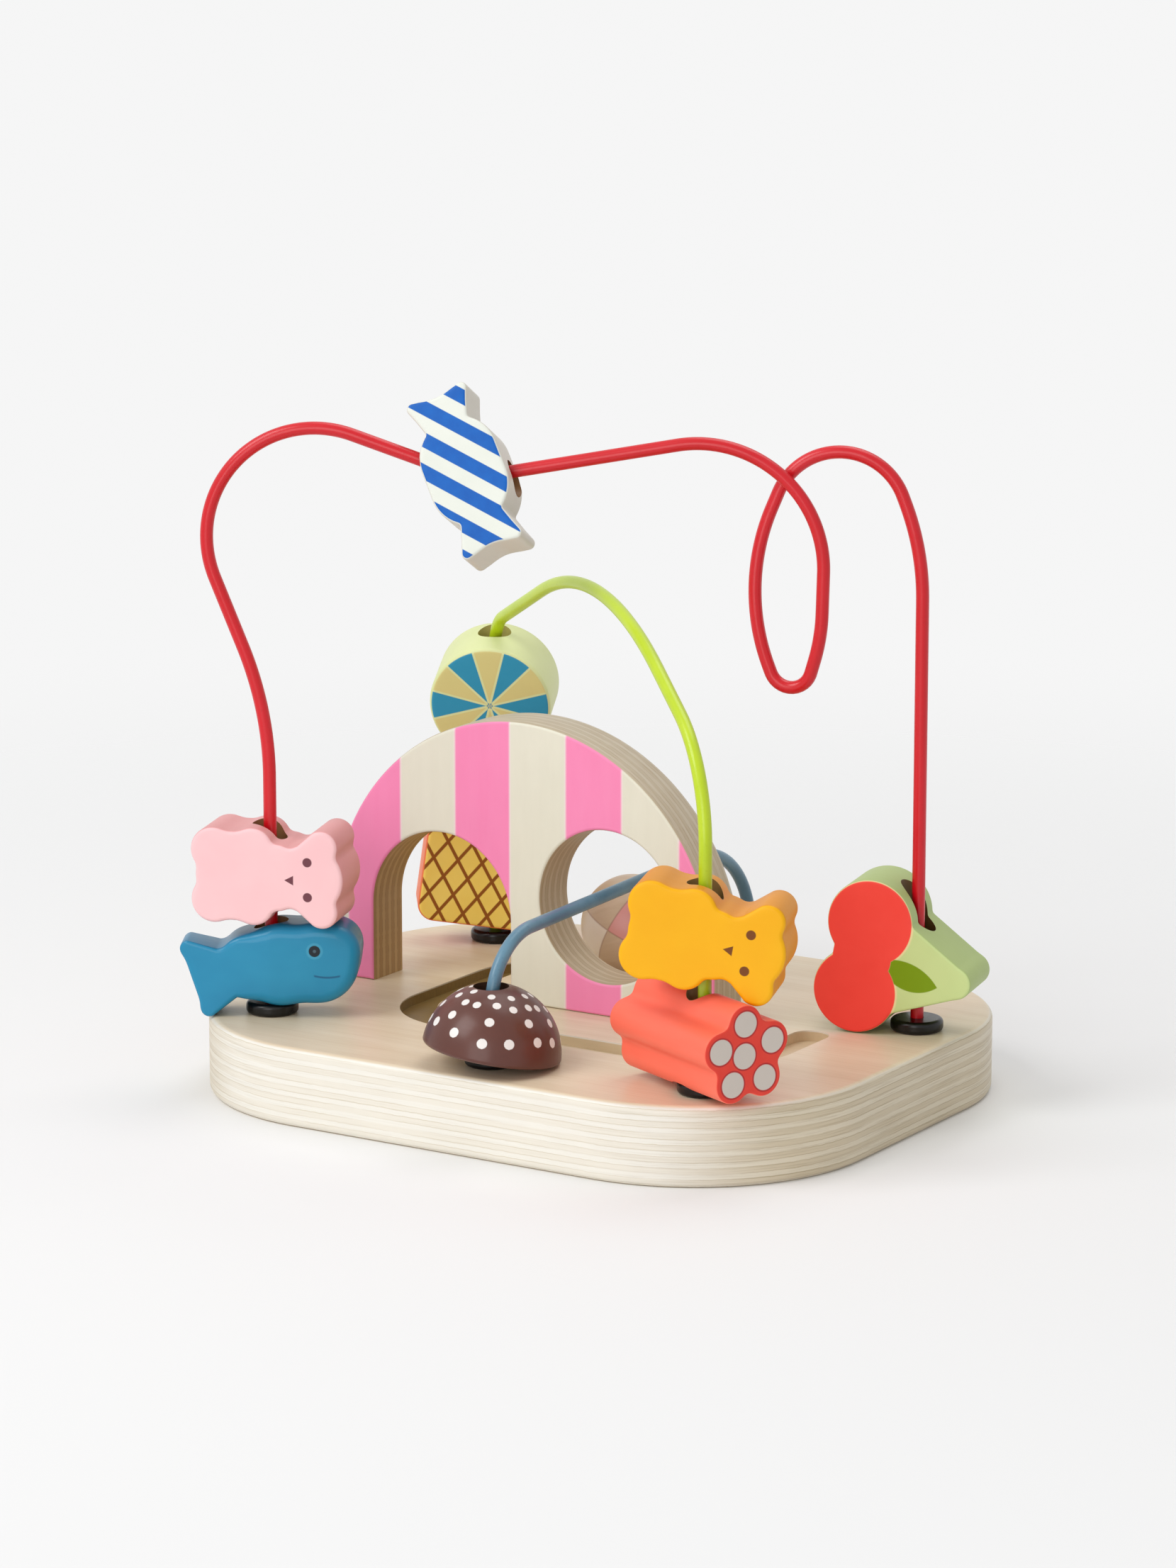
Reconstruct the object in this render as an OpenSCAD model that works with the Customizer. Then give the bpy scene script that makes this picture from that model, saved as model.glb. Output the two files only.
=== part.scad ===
// Bead maze: a plywood board with a striped arch, three bent wires and loose wooden beads.
// Millimetres. The board's underside is z = 0 and its centre is the origin. The front faces -Y.

/* [Board] */
// board width, left to right
board_w = 200; // [190:1:230]
// board depth, front to back
board_d = 165; // [160:1:190]
// board thickness
board_t = 22; // [20:0.5:28]
// corner radius of the board, seen from above
board_r = 52; // [40:1:60]
// rounding of the board's edges
board_ease = 2; // [1:0.25:4]

/* [Track] */
// width of the shallow track in the board
track_w = 10.5; // [8:0.5:12]
// depth of the track
track_deep = 3; // [2:0.25:5]
// radius of the track's bends, at its middle
track_r = 20.7; // [16:0.1:24]

/* [Arch] */
// outer radius of the arch
arch_r = 63.2; // [58:0.2:66]
// thickness of the arch, front to back
arch_t = 15; // [10:0.5:18]
// height of the straight sides below the round top
arch_side = 16.7; // [12:0.1:24]
// left or right shift of the arch from the board's centre
arch_x = -21.6; // [-24:0.2:-16]
// front face of the arch
arch_y = -8.2; // [-12:0.2:-4]
// width of the doorway
door_w = 46; // [34:0.5:48]
// radius of the round window
window_r = 21.6; // [14:0.2:22]

/* [Wires] */
// diameter of the bent steel wires
wire_d = 3.6; // [3:0.1:4.4]
// how deep a wire end stands in the board
wire_seat = 14; // [8:0.5:16]
// outer diameter of the collar at the foot of a wire
collar_d = 14.5; // [12:0.5:18]
// height of a collar
collar_h = 3.5; // [2.5:0.25:5]

/* [Beads] */
// diameter of the bore in every bead
bore_d = 9.6; // [9:0.1:10.5]
// thickness of the two bears
bear_t = 19; // [14:0.5:20]
// thickness of the fish
fish_t = 17; // [13:0.5:18]
// thickness of the wrapped candy
candy_t = 15; // [13:0.5:18]
// thickness of the cherry block
cherry_t = 20; // [15:0.5:21]
// length of the lobed tube
tube_len = 45; // [40:1:52]
// diameter of the lollipop disc
lolly_d = 35; // [30:0.5:36]
// thickness of the lollipop disc
lolly_t = 21; // [15:0.5:22]
// width of the waffle block
waffle_w = 41; // [34:0.5:42]
// height of the waffle block
waffle_h = 48.5; // [42:0.5:50]
// thickness of the waffle block
waffle_t = 16; // [13:0.5:18]
// radius of the dotted dome
dome_r = 18.75; // [16:0.25:20]
// radius of the ball in the track
ball_r = 14.6; // [11:0.2:15]

/* [Fits] */
// play around a wire end in its hole and in its collar
seat_play = 0.1; // [0.05:0.05:0.2]
// gap between a loose bead and what it rests on
rest_gap = 0.3; // [0.25:0.05:0.5]
// play around a screw in the board
screw_play = 0.3; // [0.1:0.1:0.6]

/* [Hidden] */
$fn = 64;
eps = 0.5;

// Feet of the wires on the board, as shares of its size where the corners move them.
red_left = [-board_w / 2 + 25.5, -board_d / 2 + 30];
red_right = [board_w / 2 - 14, 25.5];
green_front = [board_w / 2 - 30, -board_d / 2 + 21.5];
green_rear = [-board_w / 2 + 31.5, board_d / 2 - 31];
blue_front = [7.4, -board_d / 2 + 15.6];
blue_rear = [12, board_d / 2 - 21];

// Bend centres and ends of the track: rear run, left arm through the door, front run, right arm.
track_left = arch_x - 25.1 + track_r;
track_right = 64.4 - track_r + (board_w - 200) / 2;
track_front = -35.7 + track_r;
track_rear = 38.5 - track_r;
track_rear_end = 18;
track_right_end = 4.3;

arch_foot = board_t;
arch_mid = arch_foot + arch_side;
arch_depth = arch_y + arch_t / 2;
door_x = arch_x - 26.2;
door_r = door_w / 2;
door_mid = arch_foot + 45.6 - door_r;
window_x = arch_x + 28.2;
window_z = arch_foot + 30.9;
collar_top = board_t + collar_h;

// Screws that hold the arch from below.
screw_d = 3.5;
screw_head_d = 7;
screw_head_h = 2.6;
screw_bite = 14;
screw_sunk = 1;
screw_at = [arch_x - arch_r + 6.5, arch_x + 9.5, arch_x + arch_r - 11.5];

// Each wire as a route of corners with a bend radius for each one.
wire_lap = 0.15;
weld = 0.06;
weld_turn = 40;
wire_end = board_t - wire_seat;

function unit(v) = v / norm(v);

function flat(a, z = 0) = [a[0], a[1], z];

red_run = flat(red_right - red_left);
red_u = unit(red_run);
red_n = [-red_u[1], red_u[0], 0];
red_span = norm(red_run);

// A point above the line between the two red feet: along, up, and out of its plane.
function red_at(s, z, w = 0) = flat(red_left, board_t + z) + red_u * s + red_n * w;

// The loop's two legs pass each other, half this far out of the plane on either side.
loop_out = 0.75 * wire_d;
red_path = [red_at(0, -wire_seat), red_at(0, 85.3), red_at(-38.7, 183.4), red_at(56.2, 150.3),
    red_at(red_span - 25.5, 167.7, -loop_out), red_at(red_span - 27, 108.9, -loop_out),
    red_at(red_span - 34.6, 81.9), red_at(red_span - 49.7, 121.9, loop_out),
    red_at(red_span - 22, 189.5, loop_out), red_at(red_span, 132.5), red_at(red_span, -wire_seat)];
red_bend = [0, 99, 30.4, 40.4, 33.7, 49.9, 6, 58.2, 18.1, 72, 0];

green_run = flat(green_front - green_rear);
green_u = unit(green_run);
green_span = norm(green_run);

// A point above the line between the two green feet: along and up.
function green_at(s, z) = flat(green_rear, board_t + z) + green_u * s;

green_path = [green_at(0, -wire_seat), green_at(0, 94.2), green_at(93.2, 129.7),
    green_at(green_span, 87.2), green_at(green_span, -wire_seat)];
green_bend = [0, 12.5, 121.5, 35.7, 0];

blue_path = [flat(blue_front, wire_end), flat(blue_front, board_t + 33.2),
    flat(blue_rear, board_t + 39), flat(blue_rear, wire_end)];
blue_bend = [0, 19, 27, 0];

// Rest places of the beads.
fish_at = flat(red_left, collar_top + rest_gap);
fish_turn = 30;
bear_half = 13.7;
fish_top = 22.45;
pink_bear_at = flat(red_left, fish_at[2] + fish_top + rest_gap + bear_half);
pink_bear_turn = 19;
candy_at = red_at(55.8, 151.6);
candy_slope = 6;
candy_turn = 17;
candy_lean = 22;
candy_roll = 26.6;
cherry_at = flat(red_right, board_t + rest_gap);
cherry_turn = 12;
tube_lobe = 5.2;
tube_ring = 8.3;
tube_seat = 10.5;
tube_room = 1.2;
tube_shift = -2.8;
tube_turn = 65;
tube_at = flat(green_front, collar_top + rest_gap + tube_seat);
tube_top = 13.6;
bear_ease = 0.8;
orange_bear_at = flat(green_front, tube_at[2] + tube_top + rest_gap + bear_half + bear_ease);
orange_bear_turn = 20;
orange_bear_roll = -10;
waffle_turn = 36;
waffle_roll = -8;
waffle_r = 5;
waffle_low = waffle_h / 2 / cos(waffle_roll) + collar_d / 2 * tan(abs(waffle_roll));
waffle_high = (waffle_h / 2 - waffle_r) * cos(waffle_roll) + (waffle_w / 2 - waffle_r) * sin(abs(waffle_roll)) + waffle_r;
waffle_at = flat(green_rear, collar_top + rest_gap + waffle_low);
lolly_turn = 25;
lolly_lean = -12;
lolly_ease = 2;
lolly_low = (lolly_d / 2 - lolly_ease) * cos(lolly_lean) + (lolly_t / 2 - lolly_ease) * sin(abs(lolly_lean)) + lolly_ease;
lolly_nest = 0.95;
lolly_at = flat(green_rear, waffle_at[2] + waffle_high - lolly_nest + rest_gap + lolly_low);
dome_turn = 48;
dome_tilt = 10;
dome_ease = 1.2;
dome_room = 1.3;
dome_hollow = 2.2;
dome_drop = (dome_r - dome_ease) * sin(dome_tilt) + dome_ease * (1 - cos(dome_tilt));
dome_at = flat(blue_front, board_t + rest_gap + dome_drop);
ball_sink = sqrt(ball_r * ball_r - track_w * track_w / 4);
ball_at = [-13.5, track_rear + track_r, board_t + ball_sink + rest_gap];

// Profile from the axis out to r, of height t about y = 0, with its outer corners rounded by e.
module eased_profile(r, t, e) {
    translate([0, -t / 2]) square([r - e, t]);
    translate([0, -t / 2 + e]) square([r, t - 2 * e]);
    translate([r - e, t / 2 - e]) circle(e);
    translate([r - e, e - t / 2]) circle(e);
}

// Disc about the Z axis with rounded rims.
module puck(r, t, e) {
    rotate_extrude() eased_profile(r, t, e);
}

// Rounded slab in the XY plane, made of corner turns, edge strips and a middle.
module slab(w, d, r, t, e) {
    translate([-w / 2 + r, -d / 2 + r, -t / 2]) cube([w - 2 * r, d - 2 * r, t]);
    for (i = [0, 1]) {
        mirror([i, 0, 0]) translate([w / 2 - r, d / 2 - r, 0]) rotate([90, 0, 0])
            linear_extrude(d - 2 * r) eased_profile(r, t, e);
        mirror([0, i, 0]) translate([-w / 2 + r, d / 2 - r, 0]) rotate([90, 0, 90])
            linear_extrude(w - 2 * r) eased_profile(r, t, e);
        for (j = [0, 1])
            mirror([i, 0, 0]) mirror([0, j, 0]) translate([w / 2 - r, d / 2 - r, 0])
                rotate_extrude(angle = 90) eased_profile(r, t, e);
    }
}

// Turns a flat shape upright: its face looks at the given heading, leans back and rolls.
module upright(turn, lean = 0, roll = 0) {
    rotate([0, 0, turn]) rotate([90 - lean, 0, 0]) rotate([0, 0, roll]) children();
}

// Vertical hole through a bead, around its wire.
module wire_bore(at) {
    translate([at[0], at[1], at[2] - 60]) cylinder(d = bore_d, h = 120);
}

// Moves a shape to o and turns its Z axis along d.
module along(o, d) {
    ref = abs(d[2]) < 0.9 ? [0, 0, 1] : [1, 0, 0];
    x = unit(cross(ref, d));
    y = cross(d, x);
    multmatrix([[x[0], y[0], d[0], o[0]], [x[1], y[1], d[1], o[1]], [x[2], y[2], d[2], o[2]], [0, 0, 0, 1]])
        children();
}

// Straight stretch of wire from a to b.
module wire_straight(a, b) {
    d = unit(b - a);
    along(a + d * wire_lap, d) cylinder(d = wire_d, h = norm(b - a) - 2 * wire_lap);
}

// Length from a corner of the route to where its bend starts.
function bend_reach(p, r, i) = r[i] == 0 ? 0 :
    r[i] * tan(acos(unit(p[i] - p[i - 1]) * unit(p[i + 1] - p[i])) / 2);

// Bend of radius r at corner p, between the stretches that come from a and go to c.
module wire_bend(a, p, c, r) {
    d1 = unit(p - a);
    d2 = unit(c - p);
    sweep = acos(d1 * d2);
    reach = r * tan(sweep / 2);
    m = unit(d2 - d1 * (d1 * d2));
    o = p - d1 * reach + m * r;
    k = cross(d1, m);
    skip = wire_lap / r * 180 / PI;
    multmatrix([[-m[0], d1[0], k[0], o[0]], [-m[1], d1[1], k[1], o[1]], [-m[2], d1[2], k[2], o[2]], [0, 0, 0, 1]])
        rotate([0, 0, skip]) rotate_extrude(angle = sweep - 2 * skip) translate([r, 0]) circle(d = wire_d);
    along(p - d1 * reach, d1) rotate([0, 0, weld_turn]) sphere(d = wire_d + weld);
    along(p + d2 * reach, d2) rotate([0, 0, weld_turn]) sphere(d = wire_d + weld);
}

// Whole wire along its route.
module bent_wire(p, r) {
    n = len(p);
    for (i = [0 : n - 2]) {
        d = unit(p[i + 1] - p[i]);
        wire_straight(p[i] + d * bend_reach(p, r, i), p[i + 1] - d * bend_reach(p, r, i + 1));
    }
    for (i = [1 : n - 2])
        wire_bend(p[i - 1], p[i], p[i + 1], r[i]);
}

// Hole in the board for one wire end.
module wire_socket(foot) {
    translate(flat(foot, wire_end)) cylinder(d = wire_d + 2 * seat_play, h = wire_seat + eps);
}

// Quarter turn of the track about a bend centre, starting at the given heading.
module track_turn(x, y, start) {
    translate([x, y, board_t - track_deep]) rotate([0, 0, start]) rotate_extrude(angle = 90)
        translate([track_r - track_w / 2, 0]) square([track_w, track_deep + eps]);
}

// Straight of the track between two points that share an x or a y.
module track_run(x0, y0, x1, y1, end) {
    lx = max(abs(x1 - x0), track_w);
    ly = max(abs(y1 - y0), track_w);
    translate([(x0 + x1) / 2 - lx / 2, (y0 + y1) / 2 - ly / 2, board_t - track_deep])
        cube([lx, ly, track_deep + eps]);
    if (end)
        translate([x1, y1, board_t - track_deep]) cylinder(d = track_w, h = track_deep + eps);
}

module track() {
    track_run(track_left, track_rear + track_r, track_rear_end, track_rear + track_r, true);
    track_turn(track_left, track_rear, 90);
    track_run(track_left - track_r, track_rear, track_left - track_r, track_front, false);
    track_turn(track_left, track_front, 180);
    track_run(track_left, track_front - track_r, track_right, track_front - track_r, false);
    track_turn(track_right, track_front, 270);
    track_run(track_right + track_r, track_front, track_right + track_r, track_right_end, true);
}

// Countersunk wood screw, head down, with a cross in its head.
module screw() {
    difference() {
        union() {
            cylinder(d1 = screw_head_d, d2 = screw_d, h = screw_head_h);
            translate([0, 0, screw_head_h - 0.01]) cylinder(d = screw_d, h = board_t - screw_sunk + screw_bite - screw_head_h - 3);
            translate([0, 0, board_t - screw_sunk + screw_bite - 3.02]) cylinder(d1 = screw_d, d2 = 0.8, h = 3);
        }
        translate([-2, -0.5, -1]) cube([4, 1, 2.2]);
        translate([-0.5, -2, -1]) cube([1, 4, 2.2]);
    }
}

// Plywood board with its track, wire sockets and screw holes.
module base_board() {
    color("burlywood") difference() {
        translate([0, 0, board_t / 2]) slab(board_w, board_d, board_r, board_t, board_ease);
        track();
        for (foot = [red_left, red_right, green_front, green_rear, blue_front, blue_rear])
            wire_socket(foot);
        for (x = screw_at) translate([x, arch_depth, 0]) {
            translate([0, 0, -eps]) cylinder(d = screw_d + 2 * screw_play, h = board_t + 2 * eps);
            translate([0, 0, -eps]) cylinder(d = screw_head_d + 2 * screw_play, h = screw_sunk + eps);
            translate([0, 0, screw_sunk - 0.01])
                cylinder(d1 = screw_head_d + 2 * screw_play, d2 = screw_d + 2 * screw_play, h = screw_head_h + 0.01);
        }
    }
}

// Plywood arch with a round-topped doorway and a round window.
module arch_facade() {
    color("pink") difference() {
        union() {
            translate([arch_x, arch_y, arch_mid]) rotate([-90, 0, 0]) cylinder(r = arch_r, h = arch_t, $fn = 128);
            translate([arch_x - arch_r, arch_y, arch_foot]) cube([2 * arch_r, arch_t, arch_side]);
        }
        translate([arch_x - 2 * arch_r, arch_y - eps, arch_foot - 2 * arch_r])
            cube([4 * arch_r, arch_t + 2 * eps, 2 * arch_r]);
        translate([door_x, arch_y - eps, door_mid]) rotate([-90, 0, 0]) cylinder(r = door_r, h = arch_t + 2 * eps);
        translate([door_x - door_r, arch_y - eps, arch_foot - eps]) cube([door_w, arch_t + 2 * eps, door_mid - arch_foot + eps]);
        translate([window_x, arch_y - eps, window_z]) rotate([-90, 0, 0]) cylinder(r = window_r, h = arch_t + 2 * eps);
        for (x = screw_at)
            translate([x, arch_depth, arch_foot - eps]) cylinder(d = screw_d, h = screw_bite + eps);
    }
}

module arch_screws() {
    color("silver") for (x = screw_at)
        translate([x, arch_depth, screw_sunk]) screw();
}

module red_wire() {
    color("red") bent_wire(red_path, red_bend);
}

module green_wire() {
    color("yellowgreen") bent_wire(green_path, green_bend);
}

module blue_wire() {
    color("steelblue") bent_wire(blue_path, blue_bend);
}

// Plastic collar around the foot of a wire.
module collar(foot) {
    color("black") translate(flat(foot, board_t + collar_h / 2)) difference() {
        puck(collar_d / 2, collar_h, 1.2);
        cylinder(d = wire_d + 2 * seat_play, h = 2 * collar_h, center = true);
    }
}

module red_left_collar() {
    collar(red_left);
}

module red_right_collar() {
    collar(red_right);
}

module green_front_collar() {
    collar(green_front);
}

module green_rear_collar() {
    collar(green_rear);
}

module blue_front_collar() {
    collar(blue_front);
}

module blue_rear_collar() {
    collar(blue_rear);
}

// Rounded disc standing at a place of a flat outline, for hulls.
module spot(a, b, r, t, e) {
    translate([a, b, 0]) rotate_extrude($fn = 40) eased_profile(r, t, e, $fn = 16);
}

// Fish with a deep body and a forked tail, above its own rest point.
module fish_bead() {
    color("steelblue") difference() {
        translate(fish_at) upright(fish_turn) {
            hull() {
                spot(17.8, 15.2, 7.2, fish_t, 3.5);
                spot(13.2, 11.6, 10.8, fish_t, 3.5);
                spot(3, 11, 11, fish_t, 3.5);
                spot(-5.5, 10.4, 8.6, fish_t, 3.5);
            }
            hull() {
                spot(-10, 9.4, 5.6, fish_t - 2, 2.6);
                spot(-22.6, 15.2, 1.8, fish_t - 6, 0.9);
                spot(-17, -1.5, 1.8, fish_t - 6, 0.9);
            }
        }
        wire_bore(fish_at);
    }
}

// Bear lying on its side: head, ears, arms, legs and body, all rounded discs of one thickness.
module bear() {
    puck_at = [[13.4, 0, 9.8], [16.9, 9, 4.7], [16.9, -9, 4.7], [-2.6, 7.6, 6.1], [-2.6, -7.6, 6.1],
        [-13.8, 7, 6.4], [-13.8, -7, 6.4], [-8.2, 6, 6.5], [-8.2, -6, 6.5], [4.2, 3.2, 6.2], [4.2, -3.2, 6.2],
        [-12.5, 0, 6.3], [-7, 0, 11]];
    for (c = puck_at)
        translate([c[0], c[1], 0]) puck(c[2], bear_t, 1.2);
    translate([-14, -5, -bear_t / 2 + 0.5]) cube([24, 10, bear_t - 1]);
}

module pink_bear_bead() {
    color("lightpink") difference() {
        translate(pink_bear_at) upright(pink_bear_turn) bear();
        wire_bore(pink_bear_at);
    }
}

// Wrapped candy: a rounded middle and two flared ends, hung on the dip of the red wire.
module candy_bead() {
    color("royalblue") difference() {
        translate(candy_at) upright(candy_turn, candy_lean, candy_roll) {
            hull() {
                spot(0, 4, 11, candy_t, 1.5);
                spot(0, -4, 11, candy_t, 1.5);
            }
            for (i = [0, 1]) mirror([0, i, 0]) hull() {
                spot(0, 11.5, 5.8, candy_t - 0.6, 1.5);
                spot(-7.2, 21, 1.5, candy_t - 0.6, 0.7);
                spot(7.2, 21, 1.5, candy_t - 0.6, 0.7);
            }
        }
        translate(candy_at) rotate([0, 0, atan2(red_u[1], red_u[0])]) rotate([0, 90 + candy_slope, 0])
            cylinder(d = bore_d, h = 60, center = true);
    }
}

// Two cherries and a leaf cut from one block.
module cherry_bead() {
    color("tomato") difference() {
        translate(cherry_at) upright(cherry_turn) {
            hull() {
                spot(-10.75, 30.8, 12.05, cherry_t, 1);
                spot(13.3, 15.9, 4.3, cherry_t, 1);
            }
            hull() {
                spot(-8, 13, 7.7, cherry_t, 1);
                spot(13.3, 15.9, 4.3, cherry_t, 1);
            }
            spot(-14.95, 11.75, 11.75, cherry_t, 1);
            spot(-12.9, 21.4, 8.4, cherry_t, 1);
        }
        wire_bore(cherry_at);
    }
}

// Five-lobed tube lying across its wire, faced off below so that it sits over the collar.
module tube_bead() {
    color("coral") difference() {
        translate(tube_at) rotate([0, 0, tube_turn]) rotate([90, 0, 0]) translate([0, 0, tube_shift])
            linear_extrude(tube_len, center = true) {
                circle(tube_ring + 1.2);
                for (k = [0 : 4])
                    rotate(94 + 72 * k) translate([tube_ring, 0]) circle(tube_lobe);
            }
        wire_bore(tube_at);
        translate(tube_at - [0, 0, tube_seat + 20]) cylinder(r = collar_d / 2 + tube_room, h = 20);
    }
}

module orange_bear_bead() {
    color("orange") difference() {
        translate(orange_bear_at) upright(orange_bear_turn, 0, orange_bear_roll) bear();
        wire_bore(orange_bear_at);
    }
}

module waffle_bead() {
    color("gold") difference() {
        translate(waffle_at) upright(waffle_turn, 0, waffle_roll) slab(waffle_w, waffle_h, waffle_r, waffle_t, 1.2);
        wire_bore(waffle_at);
    }
}

module lollipop_bead() {
    color("khaki") difference() {
        translate(lolly_at) upright(lolly_turn, lolly_lean) puck(lolly_d / 2, lolly_t, lolly_ease);
        wire_bore(lolly_at);
    }
}

// Half ball with a soft rim, hollowed below so that it tips over the collar on to the board.
module dome_bead() {
    color("saddlebrown") difference() {
        translate(dome_at) rotate([0, 0, dome_turn]) rotate([0, dome_tilt, 0]) difference() {
            rotate_extrude() intersection() {
                circle(dome_r);
                union() {
                    translate([0, dome_ease]) square(2 * dome_r);
                    square([dome_r - dome_ease, 2 * dome_ease]);
                    translate([dome_r - dome_ease, dome_ease]) circle(dome_ease);
                }
            }
            translate([0, 0, -eps]) cylinder(r = collar_d / 2 + dome_room, h = dome_hollow + eps);
        }
        wire_bore(dome_at);
    }
}

module track_ball() {
    color("mistyrose") translate(ball_at) sphere(ball_r);
}

base_board();
arch_facade();
arch_screws();
red_wire();
green_wire();
blue_wire();
red_left_collar();
red_right_collar();
green_front_collar();
green_rear_collar();
blue_front_collar();
blue_rear_collar();
fish_bead();
pink_bear_bead();
candy_bead();
cherry_bead();
tube_bead();
orange_bear_bead();
waffle_bead();
lollipop_bead();
dome_bead();
track_ball();
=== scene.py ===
# Looks of a wooden bead maze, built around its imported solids. Lengths are in millimetres until a mesh
# or a lamp is made, where MM turns them into metres.
import math

import bpy
import numpy as np
from mathutils import Matrix, Vector
from mathutils.geometry import delaunay_2d_cdt


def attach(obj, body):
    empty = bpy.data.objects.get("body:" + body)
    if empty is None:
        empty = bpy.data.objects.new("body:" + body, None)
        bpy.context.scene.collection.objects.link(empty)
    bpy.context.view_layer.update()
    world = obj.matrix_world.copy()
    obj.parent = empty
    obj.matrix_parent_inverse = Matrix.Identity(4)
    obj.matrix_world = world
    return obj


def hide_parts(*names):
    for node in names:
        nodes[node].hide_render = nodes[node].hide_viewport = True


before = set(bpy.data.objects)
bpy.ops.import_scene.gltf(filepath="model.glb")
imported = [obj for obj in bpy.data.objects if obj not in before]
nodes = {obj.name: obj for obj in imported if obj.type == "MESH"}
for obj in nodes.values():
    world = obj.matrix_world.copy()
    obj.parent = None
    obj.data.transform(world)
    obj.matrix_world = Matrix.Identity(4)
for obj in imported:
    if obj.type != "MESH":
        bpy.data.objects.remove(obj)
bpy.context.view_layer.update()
MM = 0.001


# Board: birch plywood, 22 mm, its outline and edges routed round and its track milled 3 mm deep.
# It is sanded and clear lacquered: the top shows the face veneer, the long edges pale plies and the two
# ends darker end grain, darkened further with painted shade. The track is painted dark brown on the left as
# painted shade.
def tint(red, green, blue):
    """Linear colour from the 0 to 255 values of a swatch."""
    c = np.array([red, green, blue]) / 255
    linear = np.where(c <= 0.04045, c / 12.92, ((c + 0.055) / 1.055) ** 2.4)
    return (*[float(v) for v in linear], 1.0)


class Field:
    """A number over a surface: a node's output that adds, multiplies and compares like a number."""

    def __init__(self, tree, socket):
        self.tree, self.socket = tree, socket

    def calc(self, operation, *others):
        """The field put through one math operation with other fields or numbers."""
        node = self.tree.nodes.new("ShaderNodeMath")
        node.operation = operation
        for slot, value in zip(node.inputs, (self, *others)):
            feed(self.tree, slot, value)
        return Field(self.tree, node.outputs[0])

    def __add__(self, other):
        return self.calc("ADD", other)

    def __sub__(self, other):
        return self.calc("SUBTRACT", other)

    def __mul__(self, other):
        return self.calc("MULTIPLY", other)

    def __abs__(self):
        return self.calc("ABSOLUTE")

    __radd__, __rmul__ = __add__, __mul__

    def least(self, other):
        """The lesser of two fields."""
        return self.calc("MINIMUM", other)

    def most(self, other):
        """The greater of two fields."""
        return self.calc("MAXIMUM", other)

    def hypot(self, other):
        """Root of the sum of two squares."""
        return (self * self + other * other).calc("SQRT")

    def fold(self, period):
        """Distance to the nearest whole multiple of the period."""
        return abs(self.calc("WRAP", period / 2, -period / 2))

    def below(self, edge, soft=0.12):
        """1 where the field is under the edge and 0 above it, with a soft step between."""
        node = self.tree.nodes.new("ShaderNodeMapRange")
        node.interpolation_type = "SMOOTHSTEP"
        for slot, value in zip(node.inputs, (self, edge - soft, edge + soft, 1.0, 0.0)):
            feed(self.tree, slot, value)
        return Field(self.tree, node.outputs[0])

    def above(self, edge, soft=0.12):
        """The reverse of below."""
        return 1 + self.below(edge, soft) * -1


def feed(tree, slot, value):
    """Puts a field, a socket or a plain value into a node's input."""
    if isinstance(value, Field):
        tree.links.new(value.socket, slot)
    elif isinstance(value, bpy.types.NodeSocket):
        tree.links.new(value, slot)
    else:
        slot.default_value = value


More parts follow.
